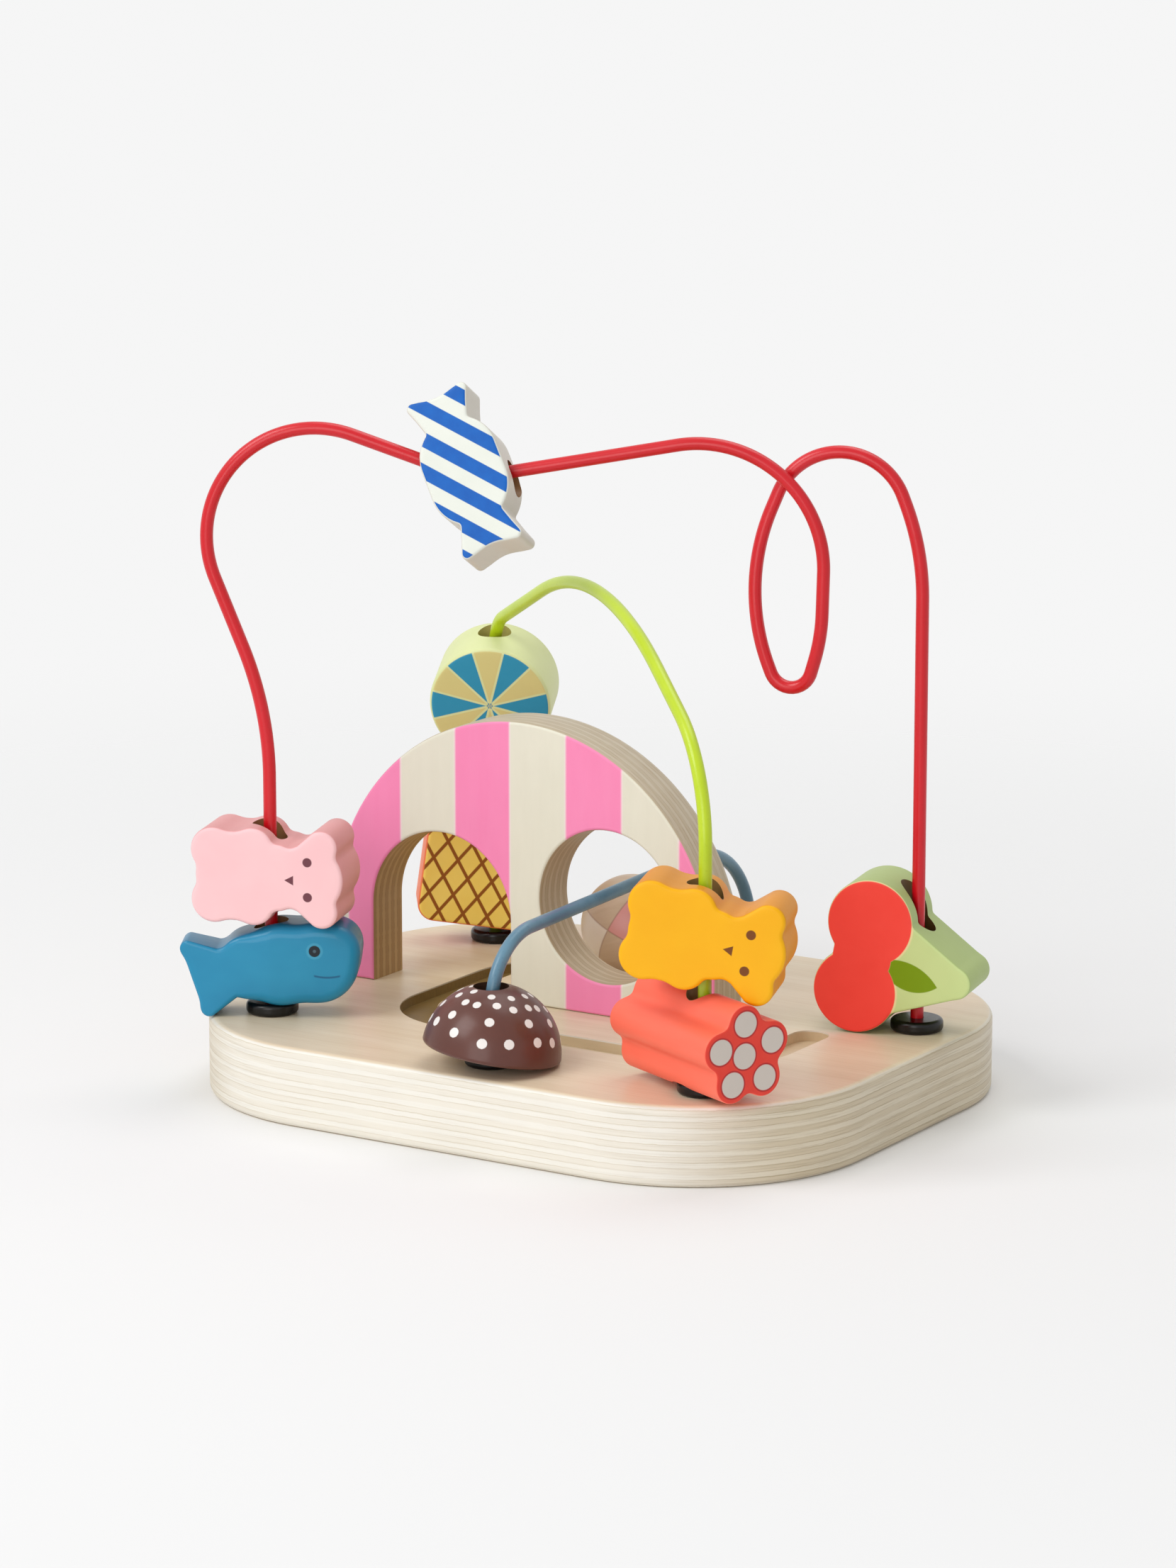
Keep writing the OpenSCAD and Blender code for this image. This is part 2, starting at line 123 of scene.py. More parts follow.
class Finish:
    """One timber, paint or metal finish: a principled shader and the fields that drive it."""

    def __init__(self, name, **values):
        self.material = bpy.data.materials.new(name)
        self.material.use_nodes = True
        self.tree = self.material.node_tree
        self.shader = self.tree.nodes["Principled BSDF"]
        for socket, value in values.items():
            socket = socket.replace("_", " ").title().replace("Ior", "IOR")
            self.shader.inputs[socket].default_value = value

    def own(self, output, place, scale):
        """A coordinate turned into the piece's own frame, as a vector socket."""
        source = self.tree.nodes.new("ShaderNodeTexCoord")
        turned = self.tree.nodes.new("ShaderNodeMapping")
        turned.vector_type = "TEXTURE"
        if output == "Object":
            turned.inputs["Location"].default_value = place.to_translation() * MM
        turned.inputs["Rotation"].default_value = place.to_euler("XYZ")
        turned.inputs["Scale"].default_value = (scale,) * 3
        self.tree.links.new(source.outputs[output], turned.inputs["Vector"])
        return turned.outputs[0]

    def split(self, vector):
        """The three parts of a vector socket, as fields."""
        node = self.tree.nodes.new("ShaderNodeSeparateXYZ")
        self.tree.links.new(vector, node.inputs[0])
        return [Field(self.tree, s) for s in node.outputs]

    def where(self, place=Matrix()):
        """Millimetres along the piece's own three axes."""
        return self.split(self.own("Object", place, MM))

    def facing(self, place=Matrix()):
        """The surface's direction along the piece's own three axes."""
        return self.split(self.own("Normal", place, 1.0))

    def noise(self, scales, detail=3.0, rough=0.55, place=Matrix()):
        """Noise from 0 to 1 with its own fineness, in cycles per millimetre, along each axis."""
        stretch = self.tree.nodes.new("ShaderNodeMapping")
        stretch.inputs["Scale"].default_value = scales
        self.tree.links.new(self.own("Object", place, MM), stretch.inputs["Vector"])
        node = self.tree.nodes.new("ShaderNodeTexNoise")
        node.inputs["Scale"].default_value = 1.0
        node.inputs["Detail"].default_value = detail
        node.inputs["Roughness"].default_value = rough
        self.tree.links.new(stretch.outputs[0], node.inputs["Vector"])
        return Field(self.tree, node.outputs[0])

    def blend(self, share, under, over):
        """The colour under, covered by the colour over where share is 1. In a colour mix, input 0 is the
        share, and inputs 6 and 7 are the two colours."""
        node = self.tree.nodes.new("ShaderNodeMix")
        node.data_type = "RGBA"
        for index, value in ((0, share), (6, under), (7, over)):
            feed(self.tree, node.inputs[index], value)
        return node.outputs[2]

    def wear(self, colour, amount, scales=(0.06, 0.06, 0.06), place=Matrix()):
        """The colour, made a little lighter and darker in patches."""
        node = self.tree.nodes.new("ShaderNodeHueSaturation")
        feed(self.tree, node.inputs["Value"], 1 - amount + self.noise(scales, place=place) * (2 * amount))
        feed(self.tree, node.inputs["Color"], colour)
        return node.outputs[0]

    def relief(self, height, depth, strength):
        """Bumps of a field whose full height is depth, in millimetres."""
        node = self.tree.nodes.new("ShaderNodeBump")
        feed(self.tree, node.inputs["Strength"], strength)
        feed(self.tree, node.inputs["Distance"], depth * MM)
        feed(self.tree, node.inputs["Height"], height)
        self.tree.links.new(node.outputs[0], self.shader.inputs["Normal"])

    def paint(self, colour, rough):
        """Drives the shader with a colour and a roughness."""
        feed(self.tree, self.shader.inputs["Base Color"], colour)
        feed(self.tree, self.shader.inputs["Roughness"], rough)


def plies(finish, across, pitch, pale, dark, line):
    """Edge of plywood: layers of one pitch, pale and dark in turn, with a thin glue line between."""
    grain = finish.noise((0.35, 0.35, 0.35), 4)
    bent = across + (grain - 0.5) * 0.5
    layer = bent.fold(2 * pitch).below(pitch / 2, 0.3)
    colour = finish.blend(layer, dark, pale)
    patch = finish.noise((0.03, 0.03, 0.4), 3)
    glue = (bent - pitch / 2).fold(pitch).below(0.09, 0.12)
    return finish.blend(glue * patch.above(0.46, 0.14) * 0.8, colour, line)


def coat(node, finish):
    """Gives a solid from the frame its finish."""
    piece = nodes[node]
    piece.data.materials.clear()
    piece.data.materials.append(finish.material)


def box_of(node):
    """Lowest corner, middle and highest corner of a solid of the frame, to a hundredth of a millimetre."""
    corners = np.array(nodes[node].bound_box) / MM
    low, high = corners.min(0), corners.max(0)
    return [point.round(2) for point in (low, (low + high) / 2, high)]


board_low, _, board_high = box_of("base_board")
BOARD_W, BOARD_D, BOARD_T = [float(length) for length in board_high - board_low]
BOARD_R, BOARD_PLY, RIM, LIP, TRACK_SHADE_X, TRACK_SHADE_SOFT = 52.0, 1.55, 1.6, 0.4, -16.0, 24.0
board_finish = Finish("lacquered_birch_board", specular_ior_level=0.35)
x, y, z = board_finish.where()
end_on, _, up = [abs(share) for share in board_finish.facing()]
figure = board_finish.noise((0.012, 0.16, 0.05), 5, 0.6)
fibre = board_finish.noise((0.05, 1.6, 0.4), 4, 0.6)
veneer = board_finish.blend((figure - 0.32) * 1.9, tint(226, 208, 178), tint(238, 224, 198))
veneer = board_finish.blend(fibre.above(0.6, 0.12) * 0.16, veneer, tint(188, 156, 112))
edge = plies(board_finish, z, BOARD_PLY, tint(238, 234, 224), tint(234, 228, 215), tint(206, 193, 168))
# The ends' plies are darker: end grain, darkened further with painted shade for the shaded end.
end_grain_and_shade = plies(board_finish, z, BOARD_PLY, tint(220, 209, 186), tint(209, 195, 168),
                  tint(168, 147, 112))
edge = board_finish.blend(end_on.above(0.62, 0.3), edge, end_grain_and_shade)
saw_line = board_finish.noise((0.04, 0.04, 2.4), 4, 0.65).above(0.56, 0.1)
edge = board_finish.blend(saw_line * (0.07 + end_on * 0.3), edge, tint(160, 140, 106))
board_colour = board_finish.blend(up.above(0.8, 0.12), edge, veneer)
from_middle = [(abs(x) - (BOARD_W / 2 - BOARD_R)).most(0), (abs(y) - (BOARD_D / 2 - BOARD_R)).most(0)]
inside_rim = from_middle[0].hypot(from_middle[1]).below(BOARD_R - RIM, 0.1)
in_track = inside_rim * z.below(BOARD_T - LIP, 0.15)
milled = board_finish.blend(fibre, tint(206, 186, 150), tint(226, 208, 176))
# Painted shade: the track's walls and floor turn dark brown towards its left end.
track_painted_shade = board_finish.blend(fibre, tint(118, 94, 44), tint(160, 132, 80))
milled = board_finish.blend(x.below(TRACK_SHADE_X, TRACK_SHADE_SOFT), milled, track_painted_shade)
board_colour = board_finish.blend(in_track, board_colour, milled)
board_finish.paint(board_finish.wear(board_colour, 0.04), 0.3 + fibre * 0.14)
board_finish.relief(fibre, 0.06, 0.5)
coat("base_board", board_finish)


# Arch: one plate of 15 mm plywood, sawn with a doorway and a round window, its edges rounded over.
# Both faces carry broad painted stripes. The sawn edges are clear, so they show the plies.
def link_piece(name, mesh, finish, body, stands_for):
    """Shows a mesh as a piece that rides on a body and stands for a solid of the frame."""
    piece = bpy.data.objects.new(name, mesh)
    bpy.context.scene.collection.objects.link(piece)
    mesh.materials.clear()
    mesh.materials.append(finish.material)
    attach(piece, body)
    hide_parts(stands_for)
    return piece


(ARCH_LEFT, ARCH_FRONT, FOOT), (ARCH_X, _, _), (_, ARCH_BACK, _) = box_of("arch_facade")
ARCH_R, ARCH_MID, ARCH_ROUND, ARCH_PLY, JAMB = ARCH_X - ARCH_LEFT, 38.7, 0.9, 1.5, 0.8
DOOR_X, DOOR_R, DOOR_MID = -47.8, 23.0, 44.6
WINDOW_X, WINDOW_Z, WINDOW_R = 6.6, 52.9, 21.6


def turn_points(cx, cz, radius, start, end, count):
    """Points on an arc in the arch's plane, from one angle to another."""
    a = np.radians(np.linspace(start, end, count))
    return np.stack([cx + radius * np.cos(a), cz + radius * np.sin(a)], 1)


def plate(name, outlines, front, back, rounding):
    """Plate between two planes of y, filled between closed outlines, with quarter-round edges."""
    curve = bpy.data.curves.new(name, "CURVE")
    curve.dimensions, curve.fill_mode = "2D", "BOTH"
    curve.extrude = ((back - front) / 2 - rounding) * MM
    curve.bevel_depth, curve.bevel_resolution, curve.offset = rounding * MM, 4, -rounding * MM
    for points in outlines:
        spline = curve.splines.new("POLY")
        spline.points.add(len(points) - 1)
        flat = np.zeros((len(points), 4))
        flat[:, :2], flat[:, 3] = points * MM, 1
        spline.points.foreach_set("co", flat.ravel())
        spline.use_cyclic_u = True
    stand_in = bpy.data.objects.new(name, curve)
    bpy.context.scene.collection.objects.link(stand_in)
    mesh = bpy.data.meshes.new_from_object(stand_in.evaluated_get(bpy.context.evaluated_depsgraph_get()))
    bpy.data.objects.remove(stand_in)
    mesh.transform(Matrix.Translation((0, (front + back) / 2 * MM, 0)) @ Matrix.Rotation(math.pi / 2, 4, "X"))
    mesh.shade_smooth()
    mesh.set_sharp_from_angle(angle=math.radians(32))
    return mesh


arch_outline = np.concatenate([
    turn_points(ARCH_X, ARCH_MID, ARCH_R, 0, 180, 181),
    [[ARCH_X - ARCH_R, FOOT], [DOOR_X - DOOR_R, FOOT]],
    turn_points(DOOR_X, DOOR_MID, DOOR_R, 180, 0, 97),
    [[DOOR_X + DOOR_R, FOOT], [ARCH_X + ARCH_R, FOOT]]])
window_outline = turn_points(WINDOW_X, WINDOW_Z, WINDOW_R, 0, 357, 120)
STRIPE, STRIPE_START = 18.24, -79.4
arch_finish = Finish("striped_arch", specular_ior_level=0.4)
x, y, z = arch_finish.where()
on_face = abs(arch_finish.facing()[1]).above(0.62, 0.12)
stripe = (x - (STRIPE_START + STRIPE / 2)).fold(2 * STRIPE)
weave = arch_finish.noise((0.3, 0.3, 0.05), 4)
pink = arch_finish.blend(weave * 0.5, tint(250, 136, 184), tint(254, 156, 198))
cream = arch_finish.blend(weave * 0.6, tint(226, 223, 204), tint(240, 237, 220))
stripes = arch_finish.blend(stripe.below(STRIPE / 2, 0.1), cream, pink)
border = abs(stripe - STRIPE / 2).below(0.35, 0.2)
stripes = arch_finish.blend(border * 0.5, stripes, tint(246, 226, 228))
sawn = plies(arch_finish, y, ARCH_PLY, tint(204, 192, 170), tint(194, 180, 154), tint(166, 146, 116))
# Painted shade: the doorway's jamb, and a little of the window's, get darker brown plies.
shaded_door_jamb = (x - DOOR_X).hypot((z - DOOR_MID).most(0)).below(DOOR_R + JAMB, 0.1)
door_jamb_shade = plies(arch_finish, y, ARCH_PLY, tint(190, 156, 108), tint(170, 134, 88), tint(126, 94, 56))
shaded_window_jamb = (x - WINDOW_X).hypot(z - WINDOW_Z).below(WINDOW_R + JAMB, 0.1)
sawn = arch_finish.blend(shaded_door_jamb.most(shaded_window_jamb * 0.35), sawn, door_jamb_shade)
streak = arch_finish.noise((0.1, 1.2, 0.03), 4, 0.6)
sawn = arch_finish.blend(streak.above(0.55, 0.15) * 0.25, sawn, tint(168, 136, 92))
arch_finish.paint(arch_finish.wear(arch_finish.blend(on_face, sawn, stripes), 0.03), 0.38 + weave * 0.14)
arch_finish.relief(weave, 0.05, 0.4)
arch_mesh = plate("striped_arch_plate", [arch_outline, window_outline], ARCH_FRONT, ARCH_BACK, ARCH_ROUND)
link_piece("striped_arch_plate", arch_mesh, arch_finish, "board_with_wires", "arch_facade")


# Screws: three zinc-plated countersunk wood screws, driven up through the board into the arch.
# Their heads lie in countersunk holes in the board's underside.
screw_finish = Finish("zinc_plated_steel", metallic=1.0)
plating = screw_finish.noise((1.5, 1.5, 1.5), 4)
zinc = screw_finish.blend(plating, tint(170, 172, 176), tint(208, 208, 206))
screw_finish.paint(zinc, 0.25 + plating * 0.2)
coat("arch_screws", screw_finish)


# Wires: 3.6 mm steel rod, bent cold on formers and powder coated, one colour each.
# Their ends are pressed into blind holes in the board. The collars hide the joint.
ARC_STEP, ROUTE_STEP = 0.4, 1.1


def wire_route(corners, radii):
    """Points along straight runs joined by arcs: each corner is cut back by radius times the tangent of
    half its turn, and the arc is swept from one cut to the other about its own centre."""
    corners, runs = np.asarray(corners, float), []
    for i, radius in enumerate(radii):
        if radius == 0:
            runs.append(corners[i:i + 1])
            continue
        come = corners[i] - corners[i - 1]
        go = corners[i + 1] - corners[i]
        come, go = come / np.linalg.norm(come), go / np.linalg.norm(go)
        sweep = np.arccos(come @ go)
        inward = (go - come * (come @ go)) / np.sin(sweep)
        start = corners[i] - come * radius * np.tan(sweep / 2)
        a = np.linspace(0, sweep, max(12, int(radius * sweep / ARC_STEP)))[:, None]
        runs.append(start + radius * (np.sin(a) * come + (1 - np.cos(a)) * inward))
    points = np.concatenate(runs)
    along = np.concatenate([[0], np.cumsum(np.linalg.norm(np.diff(points, axis=0), axis=1))])
    even = np.linspace(0, along[-1], int(along[-1] / ROUTE_STEP))
    return np.stack([np.interp(even, along, points[:, k]) for k in range(3)], 1)


def grid_mesh(name, rings, first_pole, last_pole):
    """Closed surface: each row of the grid is a ring, and each end is a fan to its pole."""
    rows, columns = rings.shape[:2]
    points = np.concatenate([[first_pole], rings.reshape(-1, 3), [last_pole]])
    here = 1 + np.arange(rows * columns).reshape(rows, columns)
    after = np.roll(here, -1, 1)
    walls = np.stack([here[:-1], after[:-1], after[1:], here[1:]], -1).reshape(-1, 4)
    first = np.stack([np.zeros(columns, int), after[0], here[0]], -1)
    last = np.stack([np.full(columns, rows * columns + 1), here[-1], after[-1]], -1)
    mesh = bpy.data.meshes.new(name)
    mesh.from_pydata((points * MM).tolist(), [], first.tolist() + walls.tolist() + last.tolist())
    mesh.shade_smooth()
    return mesh


def rod(name, route, flat_normal, diameter, sides=24):
    """Round rod: a circle carried along the route, square to it, with one axis held near flat_normal."""
    ahead = np.gradient(route, axis=0)
    ahead /= np.linalg.norm(ahead, axis=1, keepdims=True)
    side = flat_normal - ahead * (ahead @ flat_normal)[:, None]
    side /= np.linalg.norm(side, axis=1, keepdims=True)
    other = np.cross(ahead, side)
    a = np.linspace(0, 2 * np.pi, sides, endpoint=False)[None, :, None]
    rings = route[:, None] + diameter / 2 * (np.cos(a) * side[:, None] + np.sin(a) * other[:, None])
    return grid_mesh(name, rings, route[0], route[-1])


def powder_coat(name, base, light, dark):
    """Gloss powder coat: faint orange peel, with a little colour change along the rod."""
    finish = Finish(name, specular_ior_level=0.4, coat_weight=0.2, coat_roughness=0.12)
    cloud = finish.noise((0.05, 0.05, 0.05), 3)
    peel = finish.noise((1.4, 1.4, 1.4), 2)
    colour = finish.blend(cloud.above(0.52, 0.2) * 0.5, base, light)
    colour = finish.blend(peel.above(0.66, 0.08) * 0.25, colour, dark)
    finish.paint(colour, 0.26 + peel * 0.14)
    finish.relief(peel, 0.02, 0.35)
    return finish


WIRE_D, WIRE_END, LOOP_OUT = 3.6, 8.0, 2.7
COLLARS = [foot + "_collar" for foot in (
    "red_left", "red_right", "green_front", "green_rear", "blue_front", "blue_rear")]
RED_LEFT, RED_RIGHT, GREEN_FRONT, GREEN_REAR, BLUE_FRONT, BLUE_REAR = [box_of(c)[1][:2] for c in COLLARS]


def above(start, end, along, height, out=0.0):
    """A point over the line between two feet: along it, above the board, and out of its plane."""
    ahead = (end - start) / np.linalg.norm(end - start)
    spot = start + ahead * along + out * np.array([-ahead[1], ahead[0]])
    return [*spot, FOOT + height]


def plane_normal(start, end):
    """The level direction square to the line between two feet."""
    ahead = (end - start) / np.linalg.norm(end - start)
    return np.array([-ahead[1], ahead[0], 0.0])


red_span = np.linalg.norm(RED_RIGHT - RED_LEFT)
green_span = np.linalg.norm(GREEN_FRONT - GREEN_REAR)
blue_span = np.linalg.norm(BLUE_REAR - BLUE_FRONT)
SEAT = WIRE_END - FOOT
# Each wire: names, two feet, corners as along, height and out of plane, then bend radii and colours.
wires = [
    ("red_rod", "red_wire", "red_paint", RED_LEFT, RED_RIGHT,
     [(0, SEAT), (0, 85.3), (-38.7, 183.4), (56.2, 150.3), (red_span - 25.5, 167.7, -LOOP_OUT),
      (red_span - 27, 108.9, -LOOP_OUT), (red_span - 34.6, 81.9), (red_span - 49.7, 121.9, LOOP_OUT),
      (red_span - 22, 189.5, LOOP_OUT), (red_span, 132.5), (red_span, SEAT)],
     [0, 99, 30.4, 40.4, 33.7, 49.9, 6, 58.2, 18.1, 72, 0],
     (tint(210, 6, 24), tint(222, 22, 40), tint(180, 4, 18))),
    ("lime_rod", "green_wire", "lime_paint", GREEN_REAR, GREEN_FRONT,
     [(0, SEAT), (0, 94.2), (93.2, 129.7), (green_span, 87.2), (green_span, SEAT)],
     [0, 12.5, 121.5, 35.7, 0],
     (tint(188, 214, 22), tint(206, 228, 52), tint(164, 190, 14))),
    ("blue_rod", "blue_wire", "blue_paint", BLUE_FRONT, BLUE_REAR,
     [(0, SEAT), (0, 33.2), (blue_span, 39), (blue_span, SEAT)],
     [0, 19, 27, 0],
     (tint(76, 118, 142), tint(122, 164, 186), tint(54, 88, 108)))]
for name, node, slot, start, end, corners, radii, (base, light, dark) in wires:
    route = wire_route([above(start, end, *corner) for corner in corners], radii)
    mesh = rod(name, route, plane_normal(start, end), WIRE_D)
    link_piece(name, mesh, powder_coat(name + "_coat", base, light, dark), "board_with_wires", node)


# Collars: gloss rings moulded in black plastic, pushed down each wire onto the board.
# They hide the drilled holes. The fish and the waffle stand on theirs.
collar_finish = Finish("black_moulding", specular_ior_level=0.3, coat_weight=0.12, coat_roughness=0.1)
flow = collar_finish.noise((0.5, 0.5, 0.2), 3)
collar_finish.paint(collar_finish.blend(flow, tint(5, 4, 4), tint(14, 12, 12)), 0.22 + flow * 0.16)
collar_finish.relief(flow, 0.03, 0.3)
for collar in COLLARS:
    coat(collar, collar_finish)


# Fish: a thick bead sawn from beech, its edges sanded round and its tail thinned, dipped in blue paint.
# The eye and mouth are printed on both faces. A loose bore lets it slide on the red wire.
BORE_R = 4.8
RAYS, RAY_STEPS, RAY_START, BITE_BLEND = 900, 560, 0.4, 1.2


def shape_distance(points, parts, blend):
    """Distance to a smooth union of discs and tapered bars, each given by two centres and two radii."""
    total = None
    for ax, ay, ar, bx, by, br in parts:
        p = points - (ax, ay)
        run = np.array([bx - ax, by - ay], float)
        h = run @ run
        if h < 1e-9:
            d = np.hypot(p[..., 0], p[..., 1]) - ar
        else:
            across = abs(p @ np.array([run[1], -run[0]])) / h
            along = (p @ run) / h
            slope = ar - br
            c = np.sqrt(h - slope * slope)
            side = c * along - slope * across
            flank_shade = c * across + slope * along - ar
            near = np.sqrt(h * (across ** 2 + along ** 2)) - ar
            far = np.sqrt(h * (across ** 2 + (along - 1) ** 2)) - br
            d = np.where(side < 0, near, np.where(side > c, far, flank_shade))
        if total is None:
            total = d
        else:
            k = np.clip(0.5 + 0.5 * (d - total) / blend, 0, 1)
            total = d * (1 - k) + total * k - blend * k * (1 - k)
    return total


def outline_of(centre, parts, blend=1.0, bites=(), count=360, reach=40.0):
    """Outline round a centre: on each of many rays the last place inside the shape, evened by length.
    Bites are discs taken out of it."""
    a = np.linspace(0, 2 * np.pi, RAYS, endpoint=False)
    ray = np.stack([np.cos(a), np.sin(a)], 1)
    r = np.linspace(RAY_START, reach, RAY_STEPS)
    points = np.asarray(centre) + ray[:, None] * r[None, :, None]
    d = shape_distance(points, parts, blend)
    for bx, by, br in bites:
        cut = br - np.hypot(points[..., 0] - bx, points[..., 1] - by)
        k = np.clip(0.5 - 0.5 * (cut - d) / BITE_BLEND, 0, 1)
        d = cut * (1 - k) + d * k + BITE_BLEND * k * (1 - k)
    last = len(r) - 2 - np.argmax(d[:, -2::-1] < 0, 1)
    row = np.arange(len(a))
    d0, d1 = d[row, last], d[row, last + 1]
    ring = np.asarray(centre) + ray * (r[last] + (r[1] - r[0]) * d0 / (d0 - d1))[:, None]
    closed = np.concatenate([ring, ring[:1]])
    along = np.concatenate([[0], np.cumsum(np.hypot(*np.diff(closed, axis=0).T))])
    even = np.linspace(0, along[-1], count, endpoint=False)
    return np.stack([np.interp(even, along, closed[:, k]) for k in range(2)], 1)


def placed(at, turn, lean=0.0, roll=0.0):
    """The bead's own frame in the toy's: its face turned to a heading, leaned back and rolled."""
    spin = Matrix.Rotation(math.radians(turn), 4, "Z") @ Matrix.Rotation(math.radians(90 - lean), 4, "X")
    return Matrix.Translation(at) @ spin @ Matrix.Rotation(math.radians(roll), 4, "Z")


def into(place, points):
    """Points of the bead's own frame, carried into the toy's frame."""
    m = np.array(place)
    return points @ m[:3, :3].T + m[:3, 3]


def face_grid(rim, step=1.5):
    """Points of a square grid inside a closed rim, kept a little way off it, and the triangles that join
    them to the rim."""
    low, high = rim.min(0), rim.max(0)
    grid = np.stack(np.meshgrid(*[np.arange(low[k], high[k], step) for k in range(2)]), -1).reshape(-1, 2)
    after = np.roll(rim, -1, 0)
    level = (rim[:, 1] > grid[:, 1:]) != (after[:, 1] > grid[:, 1:])
    rise = np.where(after[:, 1] == rim[:, 1], 1.0, after[:, 1] - rim[:, 1])
    cross = rim[:, 0] + (grid[:, 1:] - rim[:, 1]) * (after[:, 0] - rim[:, 0]) / rise
    inside = (level & (grid[:, :1] < cross)).sum(1) % 2 == 1
    clear = np.hypot(*(grid[:, None] - rim[None]).transpose(2, 0, 1)).min(1) > 0.6 * step
    grid = grid[inside & clear]
    flat = [Vector(p) for p in np.concatenate([rim, grid])]
    _, _, triangles, source, _, _ = delaunay_2d_cdt(flat, [], [list(range(len(rim)))], 1, 1e-5)
    return grid, np.array([[source[v][0] for v in triangle] for triangle in triangles])


def sawn_bead(name, place, outline, thickness, ease, taper=None):
    """Bead sawn from a plank: a wall on its outline, edges carried round a quarter circle of radius ease,
    and flat faces. Ease may change from point to point, and taper thins the bead along its length."""
    ahead = np.roll(outline, -1, 0) - np.roll(outline, 1, 0)
    ahead /= np.linalg.norm(ahead, axis=1, keepdims=True)
    inward = np.stack([-ahead[:, 1], ahead[:, 0]], 1)
    ease = np.broadcast_to(np.asarray(ease, float), len(outline))
    quarter = np.radians(np.linspace(0, 90, 9))
    rise = (1 - np.cos(quarter))[:, None] * ease - thickness / 2
    inset = np.concatenate([1 - np.sin(quarter), 1 - np.sin(quarter[::-1])])[:, None] * ease
    depth = np.concatenate([rise, -rise[::-1]])
    flat = outline + inward * inset[..., None]
    rings = np.concatenate([flat, depth[..., None]], -1)
    grid, triangles = face_grid(flat[0])
    sheets = [np.insert(grid, 2, side * thickness / 2, 1) for side in (-1, 1)]
    points = np.concatenate([rings.reshape(-1, 3), *sheets])
    if taper is not None:
        points[:, 2] *= taper(points[:, 0])
    rows, columns = inset.shape
    here = np.arange(rows * columns).reshape(rows, columns)
    after = np.roll(here, -1, 1)
    faces = np.stack([here[:-1], after[:-1], after[1:], here[1:]], -1).reshape(-1, 4).tolist()
    for row, sheet in ((0, 0), (rows - 1, 1)):
        known = np.concatenate([here[row], rows * columns + sheet * len(grid) + np.arange(len(grid))])
        faces += known[triangles[:, ::1 if sheet else -1]].tolist()
    mesh = bpy.data.meshes.new(name)
    mesh.from_pydata((into(place, points) * MM).tolist(), [], faces)
    mesh.shade_smooth()
    return mesh


def bored(piece, place, radius=BORE_R, low=-70.0, high=140.0, sides=72):
    """Drills the bead along its wire: a cylinder about the place's Z axis is taken out of the piece."""
    a = np.linspace(0, 2 * np.pi, sides, endpoint=False)
    ends = np.array([[0, 0, low], [0, 0, high]])
    rings = ends[:, None] + np.stack([np.cos(a), np.sin(a), 0 * a], 1) * radius
    drill = bpy.data.objects.new("drill", grid_mesh("drill", into(place, rings), *into(place, ends)))
    bpy.context.scene.collection.objects.link(drill)
    hole = piece.modifiers.new("bore", "BOOLEAN")
    hole.operation, hole.solver, hole.object = "DIFFERENCE", "EXACT", drill
    bpy.context.view_layer.update()
    cut = bpy.data.meshes.new_from_object(piece.evaluated_get(bpy.context.evaluated_depsgraph_get()))
    piece.modifiers.clear()
    old, piece.data = piece.data, cut
    cut.name = old.name + "_bored"
    bpy.data.meshes.remove(old)
    bpy.data.objects.remove(drill)
    cut.shade_smooth()
    cut.set_sharp_from_angle(angle=math.radians(38))


def upright_bore(at):
    """Frame of a bore that stands upright at a foot of a wire."""
    return Matrix.Translation((at[0], at[1], 0))


class Bead(Finish):
    """Painted bead: satin paint over fine grain, with bare wood in the bore."""

    def __init__(self, name, place, bore, rough=0.36, **values):
        super().__init__(name, specular_ior_level=0.26, **values)
        self.place, self.bore, self.satin = place, bore, rough
        self.a, self.b, _ = self.where(place)
        self.front = abs(self.facing(place)[2])

    def mottled(self, scales, detail, shade, light):
        """Two shades of one paint, mixed by noise in the bead's own frame."""
        return self.blend(self.noise(scales, detail, place=self.place), shade, light)

    def disc(self, a, b, radius, soft=0.12):
        """1 within a radius of a point of the face."""
        return (self.a - a).hypot(self.b - b).below(radius, soft)

    def done(self, colour, wear=0.03, grain=(0.1, 0.9, 0.9), bare_wood=tint(150, 116, 76)):
        """Paints the bead, with the bare wood wherever a point lies within the bore's radius of its axis."""
        fibre = self.noise(grain, 4, 0.6, self.place)
        off_x, off_y, _ = self.where(self.bore)
        bare = off_x.hypot(off_y).below(BORE_R + 0.06, 0.05)
        colour = self.wear(colour, wear, place=self.place)
        self.paint(self.blend(bare, colour, bare_wood), self.satin + fibre * 0.16)
        self.relief(fibre, 0.05, 0.4)


def strung(name, mesh, paint, body, stands_for):
    """Shows a bead on its body and drills it along its wire."""
    piece = link_piece(name, mesh, paint, body, stands_for)
    bored(piece, paint.bore)
    return piece


